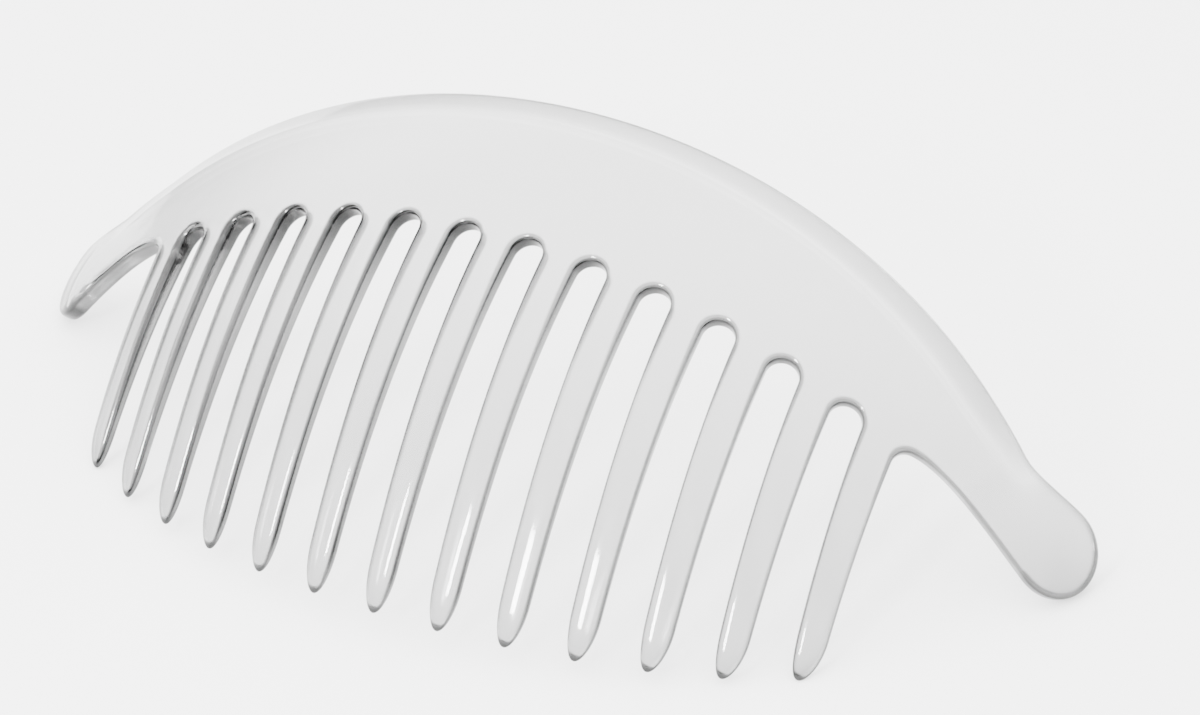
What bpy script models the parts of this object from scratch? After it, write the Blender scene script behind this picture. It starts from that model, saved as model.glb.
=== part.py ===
"""Curved side comb for the hair, moulded as one clear plastic piece.

The comb is laid out flat first: x runs along the spine from the middle tooth, y runs from the tooth tips
up to the crown edge. One half is then bent round the head, set down with its arch upwards and mirrored.
"""

from collections import namedtuple
from math import cos, pi, radians, sin, sqrt

import bmesh
import bpy
from mathutils import Matrix, Vector

# Driving dimensions of the flat comb, in metres
TOOTH_PITCH = 0.006
SIDE_TEETH = 6
THICKNESS = 0.0018

# Spine: an elliptical crown edge above a shallow arc of gap tops
CROWN_RISE = 0.0142
CROWN_HALF_LENGTH = 0.0597
CROWN_DEPTH = 0.0374
ROOT_RADIUS = 0.1605

# Bevelled band that thins the outer face along the crown edge and fades out at the necks of the arms
BAND_WIDTH = 0.003
BAND_DROP = 0.0007
BAND_FADE_START = 7.0 * TOOTH_PITCH
BAND_FADE_END = 8.4 * TOOTH_PITCH

# Teeth: tapered blades that end in a rounded point, the outer ones turned a little to the middle
ROOT_HALF_WIDTH = 0.0016
END_HALF_WIDTH = 0.0012
TIP_DROP = 0.0314
TIP_RISE = 0.0349
POINT_LENGTH = 0.0035
BLUNT_LENGTH = 0.0026
POINT_LEAN = 0.00007
TOOTH_THINNING = 0.0003

# Arms: the spine runs out past the last gap to a round end
NECK_X = 0.0474
DISC_X = 0.05235
DISC_Y = -0.0059
DISC_RADIUS = 0.00377
DISC_LOW_ANGLE = radians(-115)
DISC_FAR_ANGLE = radians(-20)
DISC_HIGH_ANGLE = radians(75)
GAP_HANDLE = 0.003
DISC_LOW_HANDLE = 0.0048
DISC_HIGH_HANDLE = 0.0021
NECK_HANDLE = 0.0015

# Bend: one radius along the spine, one down the teeth that opens towards their tips, and a slight spread
BEND_RADIUS = 0.0749
CURL_RADIUS = 0.0441
CURL_OPENING_PER_METRE = 4.9
SPREAD_PER_METRE = 0.6

# Rounding of the edges: how square the section is, and how wide the rounding on the crown edge is
SPINE_SQUARENESS = 4.0
TIP_SQUARENESS = 2.35
CROWN_RIM_WIDTH = 0.0009

# Fineness of the mesh
RIM_SHARES = (0.0, 0.1, 0.35, 1.0)
GAP_STEPS = 8
SPINE_ROWS = 3
TOOTH_ROWS = 12
ARM_STEPS = 4
NECK_STEPS = 3
DISC_STEPS = 5

Edge = namedtuple("Edge", "place rim fade", defaults=(0.0,))
Spot = namedtuple("Spot", "x y top bottom")


def mix(start, end, share):
    """A value, or a place, some share of the way from start to end."""
    return start + (end - start) * share


def crown_height(x):
    """Height of the crown edge above the top of the middle gaps."""
    return CROWN_RISE - CROWN_DEPTH * (1 - sqrt(1 - (x / CROWN_HALF_LENGTH) ** 2))


def gap_centre(gap):
    """Centre of the round top of a gap, where gap 0.5 lies beside the middle tooth."""
    x = gap * TOOTH_PITCH
    top = sqrt(ROOT_RADIUS**2 - x**2) - ROOT_RADIUS
    return Vector((x, top - (TOOTH_PITCH / 2 - ROOT_HALF_WIDTH)))


def tip_height(x):
    """Height of the line that the tooth tips follow, an ellipse like the crown's."""
    return TIP_RISE * (1 - sqrt(1 - (x / CROWN_HALF_LENGTH) ** 2)) - TIP_DROP


def rim_spot(edge, share):
    """A spot some share of the way in from an edge, rounded over on both faces."""
    place = edge.place + edge.rim * share
    rounding = (1 - (1 - share) ** SPINE_SQUARENESS) ** (1 / SPINE_SQUARENESS)
    edge_drop = BAND_DROP * edge.fade
    inset = edge.rim.length * share
    top = THICKNESS / 2 - edge_drop * max(1 - inset / BAND_WIDTH, 0)
    middle = -edge_drop / 2
    return Spot(place.x, place.y, mix(middle, top, rounding), mix(middle, -THICKNESS / 2, rounding))


def mix_spots(start, end, share):
    """A spot some share of the way from start to end."""
    return Spot(*(mix(a, b, share) for a, b in zip(start, end)))


def column(low, high):
    """The spots from the lower edge across the spine to the upper edge."""
    low_rim = [rim_spot(low, share) for share in RIM_SHARES]
    high_rim = [rim_spot(high, share) for share in RIM_SHARES]
    plain = mix_spots(low_rim[-1], high_rim[-1], 0.75)
    banded = high.place + high.rim.normalized() * BAND_WIDTH
    full = THICKNESS / 2
    crease = mix_spots(plain, Spot(banded.x, banded.y, full, -full), high.fade)
    crease = Spot(crease.x, crease.y, full, -full)
    rows = [mix_spots(low_rim[-1], crease, row / SPINE_ROWS) for row in range(1, SPINE_ROWS + 1)]
    return low_rim + rows + high_rim[::-1]


def gap_edge(gap, angle):
    """The edge of a gap's round top, its rim reaching the middle lines of the teeth beside it."""
    centre = gap_centre(gap)
    outward = Vector((cos(angle), sin(angle)))
    neighbour = gap_centre(gap + (1 if outward.x > 0 else -1))
    step = (neighbour.y - centre.y) / 2 * outward.x**2
    rim = outward * ROOT_HALF_WIDTH + Vector((0, step))
    return Edge(centre + outward * (TOOTH_PITCH / 2 - ROOT_HALF_WIDTH), rim)


def band_fade(x):
    """1 along the spine, falling smoothly to 0 where the bevelled band ends at the neck of the arm."""
    share = (BAND_FADE_END - x) / (BAND_FADE_END - BAND_FADE_START)
    share = min(max(share, 0), 1)
    return share * share * (3 - 2 * share)


def crown_edge(x):
    """The crown edge at x, with its rounding and its share of the bevelled band."""
    slope = -CROWN_DEPTH * x / (CROWN_HALF_LENGTH**2 * sqrt(1 - (x / CROWN_HALF_LENGTH) ** 2))
    inward = Vector((slope, -1)).normalized()
    fade = band_fade(x)
    width = mix(ROOT_HALF_WIDTH, CROWN_RIM_WIDTH, fade)
    return Edge(Vector((x, crown_height(x))), inward * width, fade)


def curve(start, start_handle, end_handle, end, share):
    """Place and direction at a share of a cubic curve between two ends with handles."""
    rest = 1 - share
    place = (
        start * rest**3
        + start_handle * (3 * rest**2 * share)
        + end_handle * (3 * rest * share**2)
        + end * share**3
    )
    direction = (
        (start_handle - start) * rest**2
        + (end_handle - start_handle) * (2 * rest * share)
        + (end - end_handle) * share**2
    )
    return place, direction.normalized()


def disc_edge(angle):
    """The round end of the arm at an angle from the spine's direction."""
    outward = Vector((cos(angle), sin(angle)))
    return Edge(Vector((DISC_X, DISC_Y)) + outward * DISC_RADIUS, -outward * ROOT_HALF_WIDTH)


def along_disc(angle):
    """Direction of the round end's edge, anticlockwise, at an angle."""
    return Vector((-sin(angle), cos(angle)))


def arm_low_edge(share):
    """The arm's lower edge, from the top of the last gap to the start of the round end."""
    start = gap_centre(SIDE_TEETH + 0.5) + Vector((0, TOOTH_PITCH / 2 - ROOT_HALF_WIDTH))
    end = disc_edge(DISC_LOW_ANGLE).place
    end_handle = end - along_disc(DISC_LOW_ANGLE) * DISC_LOW_HANDLE
    place, direction = curve(start, start + Vector((GAP_HANDLE, 0)), end_handle, end, share)
    return Edge(place, Vector((-direction.y, direction.x)) * ROOT_HALF_WIDTH)


def neck_edge(share):
    """The hollow of the arm's upper edge, from the crown to the round end."""
    crown = crown_edge(NECK_X)
    crown_direction = Vector((-crown.rim.y, crown.rim.x)).normalized()
    end = disc_edge(DISC_HIGH_ANGLE).place
    end_handle = end + along_disc(DISC_HIGH_ANGLE) * DISC_HIGH_HANDLE
    start_handle = crown.place + crown_direction * NECK_HANDLE
    place, direction = curve(crown.place, start_handle, end_handle, end, share)
    fade = band_fade(place.x)
    width = mix(ROOT_HALF_WIDTH, CROWN_RIM_WIDTH, fade)
    return Edge(place, Vector((direction.y, -direction.x)) * width, fade)


def gap_columns(gap, steps):
    """The spine above one gap, from the tooth on its left through a number of steps to the right."""
    columns = []
    for step in range(steps + 1):
        share = step / GAP_STEPS
        low = gap_edge(gap, pi * (1 - share))
        columns.append(column(low, crown_edge((gap - 0.5 + share) * TOOTH_PITCH)))
    return columns


def arm_columns():
    """The arm, from the middle of the last gap to the far point of its round end."""
    arm_start = (SIDE_TEETH + 0.5) * TOOTH_PITCH
    high_edges = [crown_edge(mix(arm_start, NECK_X, step / ARM_STEPS)) for step in range(ARM_STEPS)]
    high_edges += [neck_edge(step / NECK_STEPS) for step in range(NECK_STEPS)]
    columns = []
    for step, high in enumerate(high_edges):
        columns.append(column(arm_low_edge(step / len(high_edges)), high))
    for step in range(DISC_STEPS + 1):
        low = disc_edge(mix(DISC_LOW_ANGLE, DISC_FAR_ANGLE, step / DISC_STEPS))
        high = disc_edge(mix(DISC_HIGH_ANGLE, DISC_FAR_ANGLE, step / DISC_STEPS))
        columns.append(column(low, high))
    return columns


def tooth_side(tooth, side, share):
    """Place, half thickness and squareness on one side of a tooth, a share of the way to its tip."""
    tip = tip_height(tooth * TOOTH_PITCH)
    root = gap_centre(tooth + side / 2).y
    y = mix(root, tip, share)
    to_point = min((y - tip) / POINT_LENGTH, 1)
    to_blunt = min((y - tip) / BLUNT_LENGTH, 1)
    half_width = mix(ROOT_HALF_WIDTH, END_HALF_WIDTH, share) * sqrt(1 - (1 - to_point) ** 2)
    half_thickness = (THICKNESS / 2 - TOOTH_THINNING * share) * sqrt(1 - (1 - to_blunt) ** 2)
    x = tooth * (TOOTH_PITCH - POINT_LEAN * (1 - to_point) ** 2) + side * half_width
    return Vector((x, y)), half_thickness


def tooth_columns(tooth):
    """A tooth, in columns from its left side to its right side, each from the tip up to the root."""
    columns = []
    middle_shares = [(-1, share) for share in RIM_SHARES[:-1]]
    middle_shares += [(1, share) for share in RIM_SHARES[::-1]]
    for side, rim_share in middle_shares:
        spots = []
        for row in range(TOOTH_ROWS, -1, -1):
            share = sin(pi / 2 * row / TOOTH_ROWS)
            left, left_half = tooth_side(tooth, -1, share)
            right, right_half = tooth_side(tooth, 1, share)
            edge = right if side > 0 else left
            place = mix(edge, (left + right) / 2, rim_share)
            squareness = mix(SPINE_SQUARENESS, TIP_SQUARENESS, share)
            rounding = (1 - (1 - rim_share) ** squareness) ** (1 / squareness)
            half = (left_half + right_half) / 2 * rounding
            spots.append(Spot(place.x, place.y, half, -half))
        columns.append(spots)
    if tooth == 0:
        return columns[len(RIM_SHARES) - 1 :]
    return columns


def bent(x, y, height):
    """Where a flat place at a height above the middle of the thickness goes on the bent comb."""
    angle = x * (1 - SPREAD_PER_METRE * y) / BEND_RADIUS
    opening = CURL_OPENING_PER_METRE * min(y, 0)
    curl = y * y * (1 + opening) / (2 * CURL_RADIUS)
    slope = y * (1 + 1.5 * opening) / CURL_RADIUS
    surface = Vector((BEND_RADIUS * sin(angle), y, BEND_RADIUS * (cos(angle) - 1) - curl))
    outward = Vector((sin(angle), cos(angle) * slope, cos(angle))).normalized()
    return surface + outward * (height - THICKNESS / 2)


def bent_columns(columns):
    """Columns of spots as pairs of places on the outer and the inner face."""
    return [[(bent(s.x, s.y, s.top), bent(s.x, s.y, s.bottom)) for s in spots] for spots in columns]


def rest_turn(arm_places, tooth_places):
    """The turn about the spine's direction that brings the arms and the outer teeth down together."""
    low, high = 0.0, radians(60)
    for _ in range(40):
        angle = (low + high) / 2
        turn = Matrix.Rotation(angle, 3, "X")
        arms = min((turn @ place).z for place in arm_places)
        teeth = min((turn @ place).z for place in tooth_places)
        if teeth > arms:
            low = angle
        else:
            high = angle
    return Matrix.Rotation((low + high) / 2, 4, "X")


def add_faces(mesh, columns):
    """The outer and the inner face of one part of the comb, from columns of paired places."""
    rows = [[(mesh.verts.new(outer), mesh.verts.new(inner)) for outer, inner in spots] for spots in columns]
    for left, right in zip(rows, rows[1:]):
        for low in range(len(left) - 1):
            corners = (left[low], right[low], right[low + 1], left[low + 1])
            mesh.faces.new([outer for outer, _ in corners])
            mesh.faces.new([inner for _, inner in reversed(corners)])


def clear_plastic():
    """Colourless polished plastic."""
    material = bpy.data.materials.new("clear_plastic")
    material.use_nodes = True
    shader = material.node_tree.nodes["Principled BSDF"]
    shader.inputs["Base Color"].default_value = (0.93, 0.93, 0.93, 1)
    shader.inputs["Roughness"].default_value = 0.06
    shader.inputs["Metallic"].default_value = 0
    shader.inputs["IOR"].default_value = 1.49
    shader.inputs["Transmission Weight"].default_value = 1
    return material


def make_comb():
    """The whole comb, standing on the tips of its outer teeth and the round ends of its arms."""
    spine = [bent_columns(gap_columns(tooth + 0.5, GAP_STEPS)) for tooth in range(SIDE_TEETH)]
    last_gap = bent_columns(gap_columns(SIDE_TEETH + 0.5, GAP_STEPS // 2))
    arm = bent_columns(arm_columns())
    teeth = [bent_columns(tooth_columns(tooth)) for tooth in range(SIDE_TEETH + 1)]

    half = bmesh.new()
    for columns in [*spine, last_gap, arm, *teeth]:
        add_faces(half, columns)
    bmesh.ops.remove_doubles(half, verts=half.verts, dist=1e-6)

    arm_places = [place for spots in arm for pair in spots for place in pair]
    tooth_places = [place for columns in teeth for spots in columns for pair in spots for place in pair]
    half.transform(rest_turn(arm_places, tooth_places))
    lowest = min(vert.co.z for vert in half.verts)
    nearest = min(vert.co.y for vert in half.verts)
    farthest = max(vert.co.y for vert in half.verts)
    half.transform(Matrix.Translation((0, -(nearest + farthest) / 2, -lowest)))

    mesh = bpy.data.meshes.new("comb")
    half.to_mesh(mesh)
    half.free()
    mesh.shade_smooth()
    mesh.set_sharp_from_angle(angle=radians(50))
    mesh.materials.append(clear_plastic())

    comb = bpy.data.objects.new("comb", mesh)
    bpy.context.scene.collection.objects.link(comb)
    mirror = comb.modifiers.new("both sides", "MIRROR")
    mirror.use_axis = (True, False, False)
    mirror.merge_threshold = 0.00001
    return comb


for old in list(bpy.data.objects):
    bpy.data.objects.remove(old, do_unlink=True)
make_comb()
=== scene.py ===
"""Looks of the curved side comb, one clear moulded piece that lies arch up on a pale table.

Lengths are in metres.
"""

from collections import namedtuple
from math import cos, pi, radians, sin, sqrt

import bmesh
import bpy
from mathutils import Matrix, Vector


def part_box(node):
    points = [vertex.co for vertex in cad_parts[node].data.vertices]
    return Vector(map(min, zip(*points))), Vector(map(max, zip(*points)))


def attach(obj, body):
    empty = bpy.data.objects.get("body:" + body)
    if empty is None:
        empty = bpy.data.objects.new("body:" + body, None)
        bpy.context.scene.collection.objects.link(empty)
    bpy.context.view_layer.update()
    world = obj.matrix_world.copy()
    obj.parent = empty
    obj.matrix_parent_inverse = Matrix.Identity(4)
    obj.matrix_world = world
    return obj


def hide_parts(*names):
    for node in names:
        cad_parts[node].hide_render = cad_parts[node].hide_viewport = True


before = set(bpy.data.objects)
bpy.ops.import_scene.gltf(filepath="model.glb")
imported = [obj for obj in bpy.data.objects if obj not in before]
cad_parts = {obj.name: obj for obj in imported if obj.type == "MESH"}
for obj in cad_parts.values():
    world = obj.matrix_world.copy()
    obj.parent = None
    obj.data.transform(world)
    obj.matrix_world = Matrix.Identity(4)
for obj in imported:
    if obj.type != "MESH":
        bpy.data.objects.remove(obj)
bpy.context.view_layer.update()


# Spine
# The plate that carries the teeth, moulded with them in one piece of clear plastic. A bevelled band along
# its elliptical crown edge fades out at the arms, and the gaps between the teeth have round tops. It is laid
# out flat first, x along it from the middle tooth and y up from the tips to the crown edge.
TOOTH_PITCH = 0.006
SIDE_TEETH = 6
LAST_GAP = SIDE_TEETH + 0.5
THICKNESS = 0.0018
ROOT_RADIUS = 0.1605
ROOT_HALF_WIDTH = 0.0016
GAP_RADIUS = TOOTH_PITCH / 2 - ROOT_HALF_WIDTH
GAP_STEPS = 24
GAP_SWING = 2.0
CROWN_RISE = 0.0142
CROWN_HALF_LENGTH = 0.0597
CROWN_DEPTH = 0.0374
CROWN_RIM_WIDTH = 0.0009
# Painted shade on the walls of the crown edge and the neck, on the same scale from 0 to 1 as the other walls.
CROWN_SHADE = 0.12
BAND_WIDTH = 0.003
BAND_DROP = 0.0007
BAND_FADE_START = 7.0 * TOOTH_PITCH
BAND_FADE_END = 8.4 * TOOTH_PITCH
BANDLESS_CREASE_SHARE = 0.75
SPINE_SQUARENESS = 4.0
RIM_SHARES = (0.0, 0.0005, 0.004, 0.015, 0.04, 0.09, 0.17, 0.3, 0.5, 0.75, 1.0)
SPINE_SHARES = (0.12, 0.3, 0.5, 0.7, 0.85, 0.94, 0.99, 1.0)
BAND_SHARES = (0.05, 0.3, 0.65)

# An edge has a place on the flat comb's outline, the way in over which it is rounded, its share of the
# bevelled band, and how much painted shade its wall gets, from 0 to 1. A spot has a place, the heights of
# the outer and the inner face there, how much it belongs to a wall, that wall's painted shade, and how far
# down the band it lies.
Edge = namedtuple("Edge", "place rim fade shade", defaults=(0.0, 0.0))
Spot = namedtuple("Spot", "x y top bottom wall shade band")


def mix(start, end, share):
    """A value, or a place, some share of the way from start to end."""
    return start + (end - start) * share


def mix_spots(start, end, share):
    """A spot some share of the way from start to end."""
    return Spot(*(mix(a, b, share) for a, b in zip(start, end)))


def rounded(share, squareness):
    """How much of the full thickness stands a share of the way in from a rounded edge."""
    return (1 - (1 - share) ** squareness) ** (1 / squareness)


def rim_spot(edge, share):
    """A spot some share of the way in from an edge, rounded over on both faces."""
    place = edge.place + edge.rim * share
    edge_drop = BAND_DROP * edge.fade
    depth = max(1 - edge.rim.length * share / BAND_WIDTH, 0)
    middle = -edge_drop / 2
    full = rounded(share, SPINE_SQUARENESS)
    top = mix(middle, THICKNESS / 2 - edge_drop * depth, full)
    bottom = mix(middle, -THICKNESS / 2, full)
    return Spot(place.x, place.y, top, bottom, 1 - full, edge.shade, depth * edge.fade)


def column(low, high, swing=1.0):
    """The spots from the lower edge across the spine to the upper edge, with the bevelled band's crease.

    A swing above 1 lets the column leave the lower edge upright before it leans towards the upper one.
    """
    low_rim = [rim_spot(low, share) for share in RIM_SHARES]
    high_rim = [rim_spot(high, share) for share in RIM_SHARES]
    bandless = mix_spots(low_rim[-1], high_rim[-1], BANDLESS_CREASE_SHARE)
    banded = high.place + high.rim.normalized() * BAND_WIDTH
    flat = {"top": THICKNESS / 2, "bottom": -THICKNESS / 2, "wall": 0, "shade": 0, "band": 0}
    crease = mix_spots(bandless, Spot(banded.x, banded.y, **flat), high.fade)._replace(**flat)
    face = []
    for share in SPINE_SHARES:
        leaning_x = mix(low_rim[-1].x, crease.x, share**swing)
        face.append(mix_spots(low_rim[-1], crease, share)._replace(x=leaning_x))
    band = [mix_spots(crease, high_rim[-1], share) for share in BAND_SHARES]
    return low_rim + face + band + high_rim[::-1]


def crown_fall(x):
    """How far the ellipse of the crown edge has fallen at x, from 0 in the middle to 1 at its ends."""
    return 1 - sqrt(1 - (x / CROWN_HALF_LENGTH) ** 2)


def band_fade(x):
    """1 along the spine, falling smoothly to 0 where the bevelled band ends."""
    share = (BAND_FADE_END - x) / (BAND_FADE_END - BAND_FADE_START)
    share = min(max(share, 0), 1)
    return share * share * (3 - 2 * share)


def upper_edge(place, inward):
    """A place on the crown edge or the neck, with its rounding and its share of the bevelled band."""
    fade = band_fade(place.x)
    return Edge(place, inward * mix(ROOT_HALF_WIDTH, CROWN_RIM_WIDTH, fade), fade, CROWN_SHADE)


def crown_edge(x):
    """The crown edge at x."""
    slope = -CROWN_DEPTH * x / (CROWN_HALF_LENGTH**2 * sqrt(1 - (x / CROWN_HALF_LENGTH) ** 2))
    place = Vector((x, CROWN_RISE - CROWN_DEPTH * crown_fall(x)))
    return upper_edge(place, Vector((slope, -1)).normalized())


def gap_centre(gap):
    """Centre of the round top of a gap, where gap 0.5 lies beside the middle tooth."""
    x = gap * TOOTH_PITCH
    return Vector((x, sqrt(ROOT_RADIUS**2 - x**2) - ROOT_RADIUS - GAP_RADIUS))


def gap_edge(gap, angle):
    """The edge of a gap's round top, its rim reaching the middle lines of the teeth beside it."""
    centre = gap_centre(gap)
    outward = Vector((cos(angle), sin(angle)))
    neighbour = gap_centre(gap + (1 if outward.x > 0 else -1))
    step = (neighbour.y - centre.y) / 2 * outward.x**2
    # The gullet's wall gets the full painted shade.
    return Edge(centre + outward * GAP_RADIUS, outward * ROOT_HALF_WIDTH + Vector((0, step)), shade=1.0)


def gap_columns(gap, steps):
    """The spine above one gap, from the tooth on its left through a number of steps to the right."""
    columns = []
    for step in range(steps + 1):
        share = step / GAP_STEPS
        low = gap_edge(gap, pi * (1 - share))
        columns.append(column(low, crown_edge((gap - 0.5 + share) * TOOTH_PITCH), GAP_SWING))
    return columns


# Arm
# Each end of the spine runs out past the last gap, through a hollow neck, to a round end as thick as the
# rest. The comb lies on these two ends and on the points of its outer teeth. The arm's lower wall gets the
# most painted shade by the gap and round the end.
ARM_STEPS = 12
NECK_STEPS = 8
DISC_STEPS = 14
NECK_X = 0.0474
DISC_CENTRE = Vector((0.05235, -0.0059))
DISC_RADIUS = 0.00377
DISC_LOW_ANGLE = radians(-115)
DISC_FAR_ANGLE = radians(-20)
DISC_HIGH_ANGLE = radians(75)
GAP_HANDLE = 0.003
DISC_LOW_HANDLE = 0.0048
DISC_HIGH_HANDLE = 0.0021
NECK_HANDLE = 0.0015
# Painted shade on a plain wall, and how fast the gullet's full painted shade fades to it.
WALL_SHADE = 0.5
GULLET_FADE = 2.0


def curve(start, start_handle, end_handle, end, share):
    """Place and direction at a share of a cubic curve between two ends with handles."""
    rest = 1 - share
    place = start * rest**3 + start_handle * (3 * rest**2 * share)
    place += end_handle * (3 * rest * share**2) + end * share**3
    direction = (start_handle - start) * rest**2 + (end_handle - start_handle) * (2 * rest * share)
    direction += (end - end_handle) * share**2
    return place, direction.normalized()


def disc_edge(angle):
    """The round end of the arm at an angle from the spine's direction."""
    outward = Vector((cos(angle), sin(angle)))
    low_side = (DISC_HIGH_ANGLE - angle) / (DISC_HIGH_ANGLE - DISC_FAR_ANGLE)
    # Painted shade, full on the low side of the round end and light on its high side.
    shade = mix(CROWN_SHADE, 1, min(low_side, 1))
    return Edge(DISC_CENTRE + outward * DISC_RADIUS, -outward * ROOT_HALF_WIDTH, shade=shade)


def along_disc(angle):
    """Direction of the round end's edge, anticlockwise, at an angle."""
    return Vector((-sin(angle), cos(angle)))


def arm_low_edge(share):
    """The arm's lower edge, from the top of the last gap to the start of the round end."""
    start = gap_centre(LAST_GAP) + Vector((0, GAP_RADIUS))
    end = disc_edge(DISC_LOW_ANGLE).place
    end_handle = end - along_disc(DISC_LOW_ANGLE) * DISC_LOW_HANDLE
    place, direction = curve(start, start + Vector((GAP_HANDLE, 0)), end_handle, end, share)
    # Painted shade, full by the gap and fading along the arm.
    shade = max(1 - share * GULLET_FADE, WALL_SHADE)
    return Edge(place, Vector((-direction.y, direction.x)) * ROOT_HALF_WIDTH, shade=shade)


def neck_edge(share):
    """The hollow of the arm's upper edge, from the crown to the round end."""
    crown = crown_edge(NECK_X)
    crown_direction = Vector((-crown.rim.y, crown.rim.x)).normalized()
    end = disc_edge(DISC_HIGH_ANGLE).place
    end_handle = end + along_disc(DISC_HIGH_ANGLE) * DISC_HIGH_HANDLE
    start_handle = crown.place + crown_direction * NECK_HANDLE
    place, direction = curve(crown.place, start_handle, end_handle, end, share)
    return upper_edge(place, Vector((direction.y, -direction.x)))


def arm_columns():
    """The arm, from the middle of the last gap to the far point of its round end."""
    arm_start = LAST_GAP * TOOTH_PITCH
    high_edges = [crown_edge(mix(arm_start, NECK_X, step / ARM_STEPS)) for step in range(ARM_STEPS)]
    high_edges += [neck_edge(step / NECK_STEPS) for step in range(NECK_STEPS)]
    columns = []
    for step, high in enumerate(high_edges):
        share = step / len(high_edges)
        columns.append(column(arm_low_edge(share), high, mix(GAP_SWING, 1.0, share)))
    for step in range(DISC_STEPS + 1):
        low = disc_edge(mix(DISC_LOW_ANGLE, DISC_FAR_ANGLE, step / DISC_STEPS))
        high = disc_edge(mix(DISC_HIGH_ANGLE, DISC_FAR_ANGLE, step / DISC_STEPS))
        columns.append(column(low, high))
    return columns


# Teeth
# Thirteen tapered blades, moulded with the spine. They thin a little to a rounded point, and the points of
# the outer ones lean a little to the middle. Their walls carry painted shade, darkest by the gullets and at
# the points.
TOOTH_ROWS = 40
END_HALF_WIDTH = 0.0012
TIP_DROP = 0.0314
TIP_RISE = 0.0349
POINT_LENGTH = 0.0035
BLUNT_LENGTH = 0.0026
POINT_LEAN = 0.00007
TOOTH_THINNING = 0.0003
TIP_SQUARENESS = 2.35
# How fast the point's full painted shade fades up the tooth.
TIP_FADE = 20.0
TIP_LINE_LENGTH = 0.001


def tip_height(tooth):
    """Height of a tooth's tip, on an ellipse as long as the crown's."""
    return TIP_RISE * crown_fall(tooth * TOOTH_PITCH) - TIP_DROP


def quarter_round(share):
    """Height of a quarter circle a share of the way in from its foot."""
    return sqrt(1 - (1 - share) ** 2)


def tooth_side(tooth, side, share):
    """Place and half thickness on one side of a tooth, a share of the way to its tip."""
    tip = tip_height(tooth)
    y = mix(gap_centre(tooth + side / 2).y, tip, share)
    to_point = min((y - tip) / POINT_LENGTH, 1)
    to_blunt = min((y - tip) / BLUNT_LENGTH, 1)
    half_width = mix(ROOT_HALF_WIDTH, END_HALF_WIDTH, share) * quarter_round(to_point)
    half_thickness = (THICKNESS / 2 - TOOTH_THINNING * share) * quarter_round(to_blunt)
    x = tooth * (TOOTH_PITCH - POINT_LEAN * (1 - to_point) ** 2) + side * half_width
    return Vector((x, y)), half_thickness


def tooth_spot(tooth, side, rim_share, share):
    """A spot some share of the way in from one side of a tooth, and a share of the way to its tip."""
    left, left_half = tooth_side(tooth, -1, share)
    right, right_half = tooth_side(tooth, 1, share)
    place = mix(right if side > 0 else left, (left + right) / 2, rim_share)
    full = rounded(rim_share, mix(SPINE_SQUARENESS, TIP_SQUARENESS, share))
    half_thickness = (left_half + right_half) / 2 * full
    to_end = min(max(place.y - tip_height(tooth), 0) / TIP_LINE_LENGTH, 1)
    wall = 1 - rounded(rim_share, SPINE_SQUARENESS) * quarter_round(to_end)
    # Painted shade on the wall: full at the gullet and at the point, lighter between.
    shade = max(1 - share * GULLET_FADE, WALL_SHADE, 1 - (1 - share) * TIP_FADE)
    return Spot(place.x, place.y, half_thickness, -half_thickness, wall, shade, 0)


def tooth_columns(tooth):
    """A tooth, in columns from its left side to its right side, each from the tip up to the root.

    The middle tooth starts at its middle line, where the comb is mirrored.
    """
    upwards = [sin(pi / 2 * row / TOOTH_ROWS) for row in range(TOOTH_ROWS, -1, -1)]
    across = [(-1, share) for share in RIM_SHARES[:-1]] + [(1, share) for share in RIM_SHARES[::-1]]
    if tooth == 0:
        across = across[len(RIM_SHARES) - 1 :]
    return [[tooth_spot(tooth, side, rim_share, share) for share in upwards] for side, rim_share in across]


# Bent comb
# The comb curves round the head, and its teeth curl inwards. One half is bent, turned on to its arm and its
# outer tooth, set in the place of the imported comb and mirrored.
BEND_RADIUS = 0.0749
CURL_RADIUS = 0.0441
CURL_OPENING_PER_METRE = 4.9
SPREAD_PER_METRE = 0.6
REST_TURN = radians(21.078)
SAME_PLACE = 0.0000001
SEAM_WIDTH = 0.000002
VERTEX_VALUES = ("wall", "shade", "band")


def bent(x, y, height):
    """Where a flat place at a height above the middle of the thickness goes on the bent comb."""
    angle = x * (1 - SPREAD_PER_METRE * y) / BEND_RADIUS
    opening = CURL_OPENING_PER_METRE * min(y, 0)
    curl = y * y * (1 + opening) / (2 * CURL_RADIUS)
    # The slope is the curl's derivative, in which the opening counts one and a half times.
    slope = y * (1 + 1.5 * opening) / CURL_RADIUS
    surface = Vector((BEND_RADIUS * sin(angle), y, BEND_RADIUS * (cos(angle) - 1) - curl))
    outward = Vector((sin(angle), cos(angle) * slope, cos(angle))).normalized()
    return surface + outward * (height - THICKNESS / 2)


def add_faces(mesh, columns):
    """The outer and the inner face of one part of the comb, from columns of spots."""
    layers = {name: mesh.verts.layers.float[name] for name in VERTEX_VALUES}
    rows = []
    for spots in columns:
        pairs = []
        for spot in spots:
            pair = [mesh.verts.new(bent(spot.x, spot.y, height)) for height in (spot.top, spot.bottom)]
            for vert in pair:
                for name, layer in layers.items():
                    vert[layer] = getattr(spot, name)
            pairs.append(pair)
        rows.append(pairs)
    for left, right in zip(rows, rows[1:]):
        for low in range(len(left) - 1):
            corners = (left[low], right[low], right[low + 1], left[low + 1])
            mesh.faces.new([outer for outer, _ in corners])
            mesh.faces.new([inner for _, inner in reversed(corners)])


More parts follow.
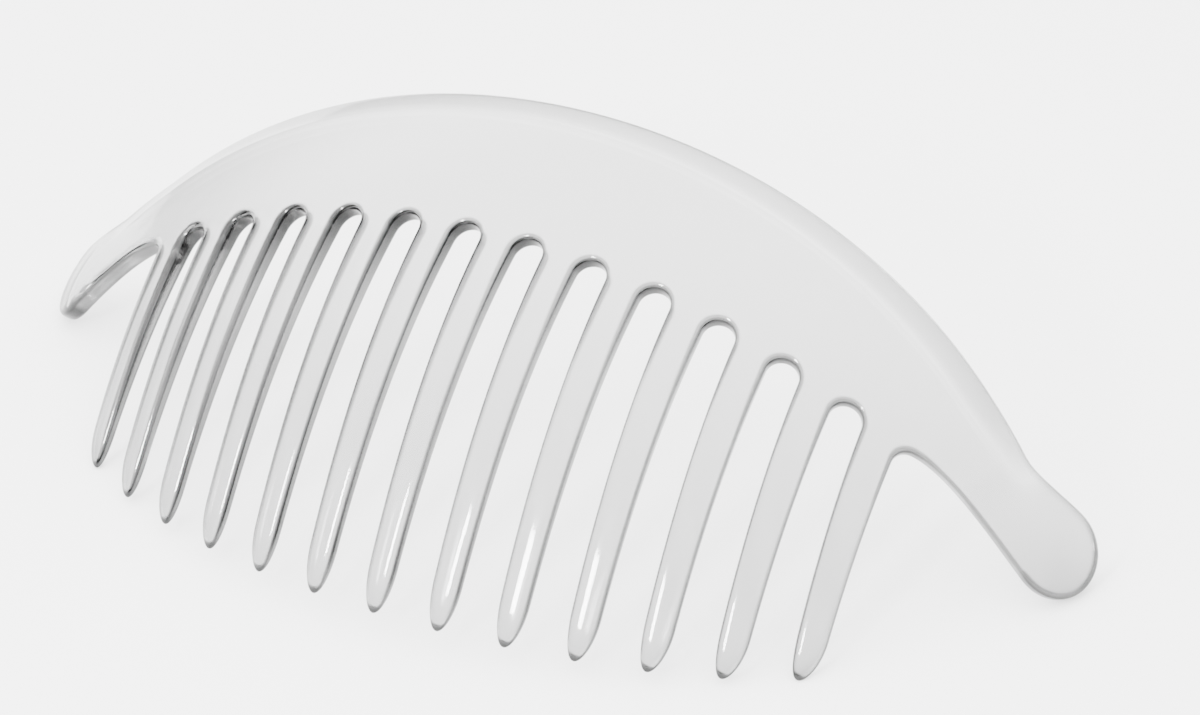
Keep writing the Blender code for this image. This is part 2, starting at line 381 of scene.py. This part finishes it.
half_comb = bmesh.new()
for name in VERTEX_VALUES:
    half_comb.verts.layers.float.new(name)
for tooth in range(SIDE_TEETH):
    add_faces(half_comb, gap_columns(tooth + 0.5, GAP_STEPS))
add_faces(half_comb, gap_columns(LAST_GAP, GAP_STEPS // 2))
add_faces(half_comb, arm_columns())
for tooth in range(SIDE_TEETH + 1):
    add_faces(half_comb, tooth_columns(tooth))
bmesh.ops.remove_doubles(half_comb, verts=half_comb.verts, dist=SAME_PLACE)
half_comb.transform(Matrix.Rotation(REST_TURN, 4, "X"))

packed_low, packed_high = (Vector(corner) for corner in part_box("comb"))
lowest = min(vert.co.z for vert in half_comb.verts)
nearest = min(vert.co.y for vert in half_comb.verts)
farthest = max(vert.co.y for vert in half_comb.verts)
middle_shift = (packed_low.y + packed_high.y - nearest - farthest) / 2
half_comb.transform(Matrix.Translation((0, middle_shift, packed_low.z - lowest)))

comb_mesh = bpy.data.meshes.new("clear_comb")
half_comb.to_mesh(comb_mesh)
half_comb.free()
comb_mesh.shade_smooth()
comb = bpy.data.objects.new("clear_comb", comb_mesh)
bpy.context.scene.collection.objects.link(comb)
both_sides = comb.modifiers.new("both sides", "MIRROR")
both_sides.use_axis = (True, False, False)
both_sides.merge_threshold = SEAM_WIDTH
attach(comb, "root")
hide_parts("comb")


# Clear plastic
# Colourless, moulded and polished. Its base colour carries painted shade: a dark line and darker walls along
# the edges, most of all in the gullets and at the points, and darker lower down, with a painted highlight
# along the bevel's crease. The edges are also duller than the faces. Slow waves from the mould bend the
# reflections a little, and handling has dulled the polish in patches.
CLEARNESS = 0.54
WALL_PAINTED_SHADE = 0.6
LINE_PAINTED_SHADE = 0.8
GULLET_PAINTED_SHADE = 0.9
BAND_PAINTED_SHADE = 0.4
PAINTED_CREASE_HIGHLIGHT = 0.3
SHADED_TOOTH_TONE = 0.8
LIT_SPINE_TONE = 1.08
SPINE_HEIGHT = 0.022
WALL_METALLIC = 0.4
POLISH_ROUGHNESS = 0.05
PATCH_ROUGHNESS = 0.05
WALL_ROUGHNESS = 0.1

# A wall value is 0 on a face and 1 at the very edge. A band value is 0 at the crease and 1 at the crown edge.
# Ranges of the wall mask, which sets the painted edge shade and the duller polish, of the painted dark line
# and of the painted crease highlight.
WALL_RANGE = (0.08, 0.4)
LINE_START = (0.1, 0.22)
LINE_END = (0.6, 0.35)
CREASE_LIGHT_START = (0.0, 0.08)
CREASE_LIGHT_END = (0.35, 0.08)


class Socket:
    """One output of a shader node, which takes part in plain arithmetic."""

    def __init__(self, tree, output):
        self.tree = tree
        self.output = output

    def maths(self, operation, left, right):
        """Adds a Math node on two values."""
        node = self.tree.nodes.new("ShaderNodeMath")
        node.operation = operation
        for socket, value in zip(node.inputs, (left, right)):
            set_input(self.tree, socket, value)
        return Socket(self.tree, node.outputs[0])

    def __add__(self, other):
        return self.maths("ADD", self, other)

    def __radd__(self, other):
        return self.maths("ADD", other, self)

    def __sub__(self, other):
        return self.maths("SUBTRACT", self, other)

    def __rsub__(self, other):
        return self.maths("SUBTRACT", other, self)

    def __mul__(self, other):
        return self.maths("MULTIPLY", self, other)

    def __rmul__(self, other):
        return self.maths("MULTIPLY", other, self)


def set_input(tree, socket, value):
    """Links a socket's value, or sets a constant one."""
    if isinstance(value, Socket):
        tree.links.new(value.output, socket)
    else:
        socket.default_value = value


class Graph:
    """The nodes of a material or of the surround."""

    def __init__(self, owner):
        owner.use_nodes = True
        self.tree = owner.node_tree

    def node(self, kind, settings, inputs, output=0):
        """Adds a node, with its settings and inputs, and gives one of its outputs."""
        node = self.tree.nodes.new(kind)
        for name, value in settings.items():
            setattr(node, name, value)
        for name, value in inputs.items():
            set_input(self.tree, node.inputs[name], value)
        return Socket(self.tree, node.outputs[output])

    def ramp(self, value, start, end, low=0.0, high=1.0):
        """Goes from low, where the value is start, to high, where it is end, and stays level beyond them."""
        span = {"Value": value, "From Min": start, "From Max": end, "To Min": low, "To Max": high}
        return self.node("ShaderNodeMapRange", {}, span)

    def feed(self, name, inputs):
        """Sets or links inputs of a node that the graph already has."""
        for key, value in inputs.items():
            set_input(self.tree, self.tree.nodes[name].inputs[key], value)


clear_plastic = bpy.data.materials.new("clear_plastic")
plastic = Graph(clear_plastic)
place = plastic.node("ShaderNodeTexCoord", {}, {}, "Object")
waves = plastic.node("ShaderNodeTexNoise", {}, {"Vector": place, "Scale": 140.0, "Detail": 1.0})
patches = plastic.node("ShaderNodeTexNoise", {}, {"Vector": place, "Scale": 60.0, "Detail": 3.0})
surface = plastic.node("ShaderNodeBump", {}, {"Height": waves, "Distance": 0.00002, "Strength": 1.0})
wall, shade, band = (
    plastic.node("ShaderNodeAttribute", {"attribute_name": name}, {}, "Fac") for name in VERTEX_VALUES
)

# Painted shade on the edges: darker walls, and a fine dark line along the rounding of each edge, wider and
# darkest in the gullets.
edge = plastic.ramp(wall, *WALL_RANGE)
outlined = plastic.ramp(shade, 0.0, WALL_SHADE)
gullet = plastic.ramp(shade, WALL_SHADE, 1.0)
line = plastic.ramp(wall * (1 + gullet), *LINE_START) * plastic.ramp(wall, *LINE_END) * outlined
painted_edge_shade = (1 - WALL_PAINTED_SHADE * edge) * (1 - LINE_PAINTED_SHADE * line) * (1 - GULLET_PAINTED_SHADE * edge * gullet)

# Painted shade by height: lower down, the teeth and the arms are a little darker than the spine.
height = plastic.node("ShaderNodeSeparateXYZ", {}, {"Vector": place}, "Z")
height_shade = plastic.ramp(height, 0.0, SPINE_HEIGHT, SHADED_TOOTH_TONE, LIT_SPINE_TONE)

# The bevelled band has a painted highlight along its crease and painted shade that deepens to the crown edge.
crease_start = plastic.ramp(band, *CREASE_LIGHT_START)
crease_end = plastic.ramp(band, *CREASE_LIGHT_END)
band_light_and_shade = 1 + PAINTED_CREASE_HIGHLIGHT * crease_start * crease_end - BAND_PAINTED_SHADE * band

# Metallic on the outlined walls darkens their reflections, as part of the painted edge shade.
shader_inputs = {
    "Base Color": CLEARNESS * height_shade * band_light_and_shade * painted_edge_shade,
    "Roughness": POLISH_ROUGHNESS + patches * PATCH_ROUGHNESS + edge * WALL_ROUGHNESS,
    "Metallic": WALL_METALLIC * edge * outlined,
    "IOR": 1.49,
    "Transmission Weight": 1.0,
    "Normal": surface,
}
plastic.feed("Principled BSDF", shader_inputs)

# Lamps shine through the plastic. A shader mix takes its factor and then its two shaders.
solid = Socket(plastic.tree, plastic.tree.nodes["Principled BSDF"].outputs[0])
passing = plastic.node("ShaderNodeBsdfTransparent", {}, {"Color": (0.82, 0.82, 0.82, 1)})
shadow_ray = plastic.node("ShaderNodeLightPath", {}, {}, "Is Shadow Ray")
shown = plastic.node("ShaderNodeMixShader", {}, {0: shadow_ray, 1: solid, 2: passing})
plastic.feed("Material Output", {"Surface": shown})
comb_mesh.materials.append(clear_plastic)


# Table
# The comb lies on a plain flat sheet that runs far out of the picture on all sides. It is painted matt
# white, and the paint is faintly cloudy.
TABLE_HALF_SIZE = 1.5
DULLER_WHITE = (0.9, 0.9, 0.9, 1)
BRIGHTER_WHITE = (0.92, 0.92, 0.92, 1)
table_mesh = bpy.data.meshes.new("table")
corners = [(x * TABLE_HALF_SIZE, y * TABLE_HALF_SIZE, 0) for x, y in ((-1, -1), (1, -1), (1, 1), (-1, 1))]
table_mesh.from_pydata(corners, [], [(0, 1, 2, 3)])
table = bpy.data.objects.new("table", table_mesh)
bpy.context.scene.collection.objects.link(table)
table_paint = bpy.data.materials.new("table_paint")
paint = Graph(table_paint)
place = paint.node("ShaderNodeTexCoord", {}, {}, "Object")
cloud = paint.node("ShaderNodeTexNoise", {}, {"Vector": place, "Scale": 9.0, "Detail": 3.0})

# Inputs 0, 6 and 7 of a colour mix are its factor and its two colours, and output 2 is the mixed colour.
white = paint.node("ShaderNodeMix", {"data_type": "RGBA"}, {0: cloud, 6: DULLER_WHITE, 7: BRIGHTER_WHITE}, 2)
paint.feed("Principled BSDF", {"Base Color": white, "Roughness": 0.75})
table_mesh.materials.append(table_paint)


# Light
# A soft box in front and to the left draws the long lights on the lower teeth. A white tent gives the even
# light of the rest. It is open low down, where the edges of the plastic reflect the dark room round it.
TARGET = Vector((0, -0.003, 0.012))
ROOM_GLOW = 0.1
TENT_GLOW = 6.0

# Heights in the surround go from 0, level with the comb, to 1, straight above it.
TENT_FOOT = 0.1
TENT_TOP = 0.6


def soft_box(name, azimuth, elevation, distance, size, watts):
    """A square lamp that faces the comb, azimuth counted from the front towards the right."""
    lamp = bpy.data.lights.new(name, "AREA")
    lamp.size = size
    lamp.energy = watts
    direction = Vector((sin(azimuth) * cos(elevation), -cos(azimuth) * cos(elevation), sin(elevation)))
    box = bpy.data.objects.new(name, lamp)
    box.location = TARGET + direction * distance
    box.rotation_euler = direction.to_track_quat("Z", "Y").to_euler()
    bpy.context.scene.collection.objects.link(box)


soft_box("front box", azimuth=radians(-8), elevation=radians(38), distance=0.6, size=0.11, watts=8.0)
tent = bpy.data.worlds.new("tent")
bpy.context.scene.world = tent
surround = Graph(tent)
direction = surround.node("ShaderNodeTexCoord", {}, {}, "Generated")
height = surround.node("ShaderNodeSeparateXYZ", {}, {"Vector": direction}, "Z")
tent_span = {
    "Value": height,
    "From Min": TENT_FOOT,
    "From Max": TENT_TOP,
    "To Min": ROOM_GLOW,
    "To Max": TENT_GLOW,
}
glow = surround.node("ShaderNodeMapRange", {"interpolation_type": "SMOOTHSTEP"}, tent_span)
surround.feed("Background", {"Color": (1, 1, 1, 1), "Strength": glow})


# Camera
# A long lens stands in front of the comb, to the right and above. It is tilted a little to the side, so that
# the spine runs down to the right across the picture.
CAMERA_PLACE = (0.20423, -0.24836, 0.26109)
CAMERA_AZIMUTH = radians(37.74)
CAMERA_ELEVATION = radians(37.82)
CAMERA_ROLL = radians(10.1)
lens = bpy.data.cameras.new("camera")
lens.sensor_fit = "HORIZONTAL"
lens.sensor_width = 36
lens.lens = 150
lens.clip_start = 0.01
camera = bpy.data.objects.new("camera", lens)
turn = Matrix.Rotation(CAMERA_AZIMUTH, 4, "Z") @ Matrix.Rotation(pi / 2 - CAMERA_ELEVATION, 4, "X")
camera.matrix_world = Matrix.Translation(CAMERA_PLACE) @ turn @ Matrix.Rotation(-CAMERA_ROLL, 4, "Z")
bpy.context.scene.collection.objects.link(camera)
bpy.context.scene.camera = camera
